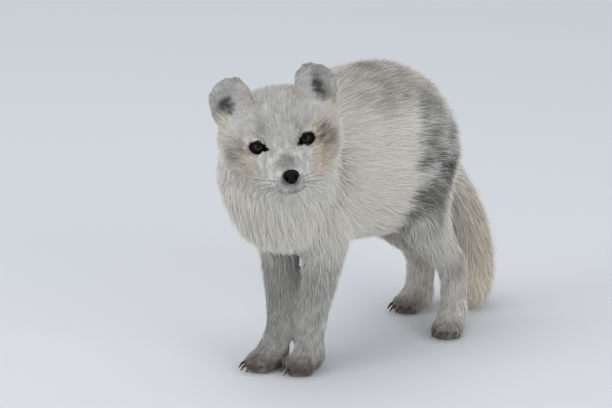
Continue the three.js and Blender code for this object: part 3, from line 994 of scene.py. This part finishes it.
for name, weight, count, width, cell, clump, stray, uneven in [
    ("coat_muzzle", muzzle * bare, 36000, 0.45, 2.6, 0.25, 0.10, 0.22),
    ("coat_face", (face - muzzle) * bare * np.clip(6 / (length + 1), 0.4, 2), 55000, 0.5, 3.2,
     0.3, 0.14, 0.26),
    ("coat_cheeks", np.clip(head - face - ear, 0, 1), 45000, 0.7, 5.5, 0.4, 0.14, 0.22),
    ("coat_ears", ear, 22000, 0.42, 3.0, 0.3, 0.07, 0.16),
    ("coat_neck", trunk * ease(-95, -115, y), 60000, 0.8, 9.0, 0.3, 0.11, 0.05),
    ("coat_shoulders", trunk * ease(-115, -95, y) * ease(-10, -30, y), 60000, 0.8, 9.0, 0.25,
     0.09, 0.03),
    ("coat_flanks", trunk * ease(-30, -10, y) * ease(80, 60, y), 61000, 0.8, 9.0, 0.25, 0.09,
     0.03),
    ("coat_rump", trunk * ease(60, 80, y), 55000, 0.8, 9.0, 0.25, 0.09, 0.07),
    ("coat_forelegs", leg * off_floor * (y < 0) * (12 / (length + 4)), 36000, 0.7, 4.5, 0.35,
     0.14, 0.18),
    ("coat_hindlegs", leg * off_floor * (y >= 0) * (16 / (length + 4)), 38000, 0.85, 6.0, 0.35,
     0.13, 0.14),
    ("coat_tail", tail * off_floor, 32000, 0.9, 8.0, 0.4, 0.18, 0.12),
]:
    tufts(name, np.maximum(weight, 0), int(count * few), width / math.sqrt(few), cell, clump, stray,
          uneven)
tufts("ear_wisps", inside_ear, int(1500 * few), 0.45 / math.sqrt(few), 4.0, 0.4, 0.2, 0.12,
      rise=0.2, lie=ear_sweep, length=np.full(len(points), 12.0))


def whiskers(ring=5, rings=9, thick=0.26):
    """Stiff hairs in rows on the whisker pads and two over each eye: round tubes along quadratic
    curves that sweep back, their radius falling evenly to the tip."""
    hairs = []
    for sign in SIDES.values():
        hairs += [((sign * (8.5 + 1.9 * k), -57 + 4.6 * k, -27.5 - 3.0 * row),
                   (sign * (0.95 - 0.08 * k), 0.28 + 0.12 * k, 0.22 - 0.26 * row),
                   30 + 4 * k - 2 * row, BROWN if (row + k) % 3 else CREAM)
                  for row in range(3) for k in range(4)]
        hairs += [((sign * (15 + 5 * k), -2 + 3 * k, 13), (sign * (0.5 + 0.2 * k), 0.25, 0.75), 19,
                   CREAM) for k in range(2)]
    places, aims, reaches, tones = (np.array(part) for part in zip(*hairs))
    nearest = np.array([norm(coat_points - place).argmin()
                        for place in from_head(places)])
    count = len(nearest)
    aim = unit(aims + rng.uniform(-0.06, 0.06, (count, 3))) @ HEAD_TURN.T
    reach = (reaches * rng.uniform(0.85, 1.1, count))[:, None]
    root = skin_points[nearest] - normals[nearest] * 0.5
    middle = root + unit(aim + normals[nearest] * 0.5) * reach * 0.5
    tip = root + (aim + (0, 0, -0.12)) * reach
    s = np.linspace(0, 1, rings)[None, :, None]
    curve = bent(s, root[:, None], middle[:, None], tip[:, None])
    first = unit(np.cross(tip - root, middle - root))
    second = unit(np.cross(tip - root, first))
    angle = circle(ring)[:, None]
    around = np.cos(angle) * first[:, None] + np.sin(angle) * second[:, None]
    tube = curve[:, :, None] + around[:, None] * (thick * (1 - 0.85 * s))[..., None]
    tube = tube.reshape(count, -1, 3)
    quads, ends = capped(tube[0], rings, ring)[1:]
    tube = np.concatenate([tube, root[:, None], tip[:, None]], 1)
    step = (np.arange(count) * tube.shape[1])[:, None, None]
    piece = new_piece("whiskers", tube.reshape(-1, 3), (quads + step).reshape(-1, 4),
                      (ends + step).reshape(-1, 3))
    set_outwards(piece)
    holder = np.array([(triangles == vertex).any(1).argmax() for vertex in nearest])
    spread = np.stack(np.meshgrid(np.linspace(-0.5, 0.5, ring), s.ravel() - 0.5), -1)
    spread = np.concatenate([spread.reshape(-1, 2), [[0, -0.5], [0, 0.5]]]) * PATCH
    as_coat(piece, np.repeat(tones, tube.shape[1], axis=0),
            triangle_uv[holder].mean(1)[:, None] + spread)


whiskers()


# Eyes and nose --------------------

CAMERA_LOOK = np.array([-66.0, 0.0, 150.0])
CAMERA_AWAY = 5000.0
CAMERA_ANGLES = 38, 17
PUPIL, IRIS, SCLERA = shade(5, 4, 5), shade(50, 38, 32), shade(7, 6, 6)


def plain_material(name, roughness, scale, dark, light, bump, shine=0.2):
    """Two tones mixed by fine noise on object coordinates, with the same noise as relief."""
    material, nodes, links, finish = new_material(name, Roughness=roughness,
                                                  Specular_IOR_Level=shine)
    noise = add_grain(nodes, links, finish, scale, 4.0, bump, 0.4)
    tones = nodes.new("ShaderNodeValToRGB")
    for stop, place, tone in zip(tones.color_ramp.elements, (0.35, 0.65), (dark, light)):
        stop.position = place
        stop.color = (*tone, 1)
    links.new(noise, tones.inputs["Fac"])
    links.new(tones.outputs["Color"], finish.inputs["Base Color"])
    return material


EYE_GLOSS, nodes, links, finish = new_material(
    "wet_eye", Roughness=0.25, Specular_IOR_Level=0.04, Coat_Weight=0.1, Coat_Roughness=0.02)
links.new(add_markings(nodes), finish.inputs["Base Color"])
CLAW_HORN = plain_material("claw_horn", 0.45, 700.0, shade(58, 50, 45), shade(104, 92, 82), 0.3)
LEATHER = plain_material("nose_leather", 0.45, 1500.0, shade(8, 8, 10), shade(17, 17, 20), 0.9,
                         0.09)
LID_SKIN = plain_material("lid_skin", 0.6, 1200.0, shade(9, 7, 7), shade(18, 15, 14), 0.4, 0.05)


def backwards(around, up):
    """Direction from what a thing on a sphere looks at to the thing, by its two angles."""
    around, up = math.radians(around), math.radians(up)
    return np.array([math.sin(around) * math.cos(up), -math.cos(around) * math.cos(up),
                     math.sin(up)])


def eyeball(name, sign, around=48, rows=60):
    """A ball about the eye's middle with a low bulge, a bell of the angle, for the cornea; rings
    about the direction it looks in carry pupil, iris and dark rim."""
    centre = EYE_PLACE * (sign, 1, 1)
    away = CAMERA_LOOK + CAMERA_AWAY * backwards(*CAMERA_ANGLES) - from_head(centre)
    look = unit(unit(away @ HEAD_TURN) + (sign * 0.05, 0, -0.02))
    other = unit(np.cross(look, [0, 0, 1.0]))
    third = np.cross(look, other)
    angle = np.linspace(0.0, np.pi, rows + 2)[1:-1, None]
    angle = angle * blend(0.35, 1.0, angle / np.pi)
    turned = circle(around)[None, :]
    radius = (EYE_RADIUS - 0.1 + 0.75 * bell(angle, 0.50))[..., None]
    points = centre + radius * (
        np.cos(angle)[..., None] * look + np.sin(angle)[..., None] * (
            np.cos(turned)[..., None] * other + np.sin(turned)[..., None] * third))
    ball = new_piece(f"eyeball_{name}", *capped(from_head(points.reshape(-1, 3)), rows, around))
    a = np.append(np.repeat(angle[:, 0], around), [0.0, np.pi])
    t = np.append(np.tile(turned[0], rows), [0.0, 0.0])
    fibre = 0.5 + 0.5 * np.sin(t * 23) * np.sin(t * 37 + 1)
    iris = blend(PUPIL, IRIS * blend(0.75, 1.25, fibre)[:, None], ease(0.18, 0.23, a)[:, None])
    paint(ball.data, layered(iris, [(IRIS * 0.55, ease(0.42, 0.57, a) * 0.8),
                                    (PUPIL, ease(0.57, 0.65, a)), (SCLERA, ease(0.75, 0.9, a))]))
    ball.data.materials.append(EYE_GLOSS)
    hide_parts(f"eye_{name}")
    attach(ball, "root")


def lids(name, sign, around=72, ring=10):
    """The bare black rim of the lids: a flattened tube carried along the opening, lying on the
    ball and, past it, on the skin of the tear duct."""
    t = circle(around)
    a, b = lid_edge(t)
    high = np.sqrt(np.maximum((EYE_RADIUS + 0.35) ** 2 - a**2 - b**2, 3.3**2))
    high = (np.roll(high, 1) + 2 * high + np.roll(high, -1)) / 4
    centre = np.stack([a, b, high], -1)
    along = unit(np.roll(centre, -1, 0) - np.roll(centre, 1, 0))
    across = unit(np.cross(along, unit(centre)))
    across = across * np.sign(dot(across[:, :2], centre[:, :2]) + TINY)[:, None]
    outward = unit(np.cross(along, across))
    outward = outward * np.sign(outward[:, 2:])
    turned = circle(ring)[None, :, None]
    wide = 1.25 + 0.25 * np.clip(np.sin(t), 0, 1) - 0.3 * np.clip(-np.cos(t), 0, 1) ** 4
    tube = centre[:, None] + 0.55 * across[:, None] + (
        across[:, None] * np.cos(turned) * wide[:, None, None]
        + outward[:, None] * np.sin(turned))
    rim = new_piece(f"lids_{name}", from_head(from_eye_space(tube.reshape(-1, 3), sign)),
                    grid_faces(around + 1, ring) % (around * ring))
    set_outwards(rim)
    rim.data.materials.append(LID_SKIN)
    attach(rim, "root")


def nose_pad(around=96, rows=72):
    """A rounded pad: a ball pressed into a box by raising sine and cosine to a power, narrowed
    below, with two nostrils and the cleft pressed in by bells and a pebbled skin."""
    angle = np.linspace(0, np.pi, rows + 2)[1:-1, None]
    turned = circle(around)[None, :]
    x = raised(np.sin(angle) * np.cos(turned), 0.86)
    y = raised(-np.cos(angle) * np.ones_like(turned), 0.7)
    z = raised(np.sin(angle) * np.sin(turned), 0.86)
    x = 8.9 * x * (1 - 0.42 * ease(0.3, -1.05, z))
    z = 7.6 * z
    deep = np.where(y < 0, 6.6, 8.5) * y + 2.4 * ease(-2, 8, z) * (y < 0)
    for side in SIDES.values():
        pit = bell(x - side * 4.3, 1.7) * bell(z + 0.6, 2.0)
        slit = bell(np.abs(x) - 7.0, 1.6) * bell(z + 2.2, 1.1) * (x * side > 0)
        wing = bell(x - side * 6.0, 2.2) * bell(z - 1.2, 3.0)
        deep = deep + (y < 0.2) * (4.2 * pit + 2.2 * slit - 0.6 * wing)
    deep = deep + (y < 0) * 1.1 * bell(x, 0.75) * ease(3, -2, z)
    points = np.stack([x, deep, z], -1).reshape(-1, 3)
    pebble = mottle(points, 0.9, 11) * 0.22
    points = points * (1 + pebble[:, None] / 8.0) @ turn("X", -8).T + NOSE_PLACE
    pad = new_piece("nose_pad", *capped(from_head(points), rows, around))
    set_outwards(pad)
    pad.data.materials.append(LEATHER)
    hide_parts("nose")
    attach(pad, "root")


for name, sign in SIDES.items():
    eyeball(name, sign)
    lids(name, sign)
nose_pad()
for name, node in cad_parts.items():
    if name.startswith("claw"):
        node.data.materials.clear()
        node.data.materials.append(CLAW_HORN)


# Floor, light and camera --------------------

PICTURE_WIDTH, FOCAL_PIXELS, SENSOR = 612, 4500, 36
FLOOR_HALF = 9000
LAMPS_LOOK = np.array([0.0, 0.0, 180.0])


def placed(name, data, look, away, around, up):
    """An object on a sphere round the point look, with its -Z axis towards that point."""
    thing = bpy.data.objects.new(name, data)
    SCENE.collection.objects.link(thing)
    back = backwards(around, up)
    thing.location = (look + FOX_ORIGIN + back * away) * MM
    thing.rotation_euler = Vector(back).to_track_quat("Z", "Y").to_euler()
    return thing


lens = bpy.data.cameras.new("camera")
lens.sensor_width = SENSOR
lens.lens = FOCAL_PIXELS / PICTURE_WIDTH * SENSOR
lens.clip_end = 100
SCENE.camera = placed("camera", lens, CAMERA_LOOK, CAMERA_AWAY, *CAMERA_ANGLES)

SCENE.view_settings.view_transform = "Standard"
world = bpy.data.worlds.new("overcast")
SCENE.world = world
world.use_nodes = True
set_inputs(world.node_tree.nodes["Background"], Color=(0.90, 0.94, 1.0, 1), Strength=0.62)

for name, size, power, away, around, up in [
    ("sky_lamp", 2600, 22, 3000, -20, 75),
    ("left_lamp", 2400, 34, 3400, -25, 14),
    ("right_lamp", 2400, 34, 3400, 85, 14),
]:
    lamp = bpy.data.lights.new(name, "AREA")
    lamp.shape = "DISK"
    lamp.size = size * MM
    lamp.energy = power
    placed(name, lamp, LAMPS_LOOK, away, around, up)

floor = new_piece("floor", FLOOR_HALF * np.array([(-1, -1, 0), (1, -1, 0), (1, 1, 0), (-1, 1, 0)]),
                  np.array([[0, 1, 2, 3]]))
floor.data.materials.append(
    new_material("pale_floor", Base_Color=(0.78, 0.795, 0.815, 1), Roughness=0.9)[0])
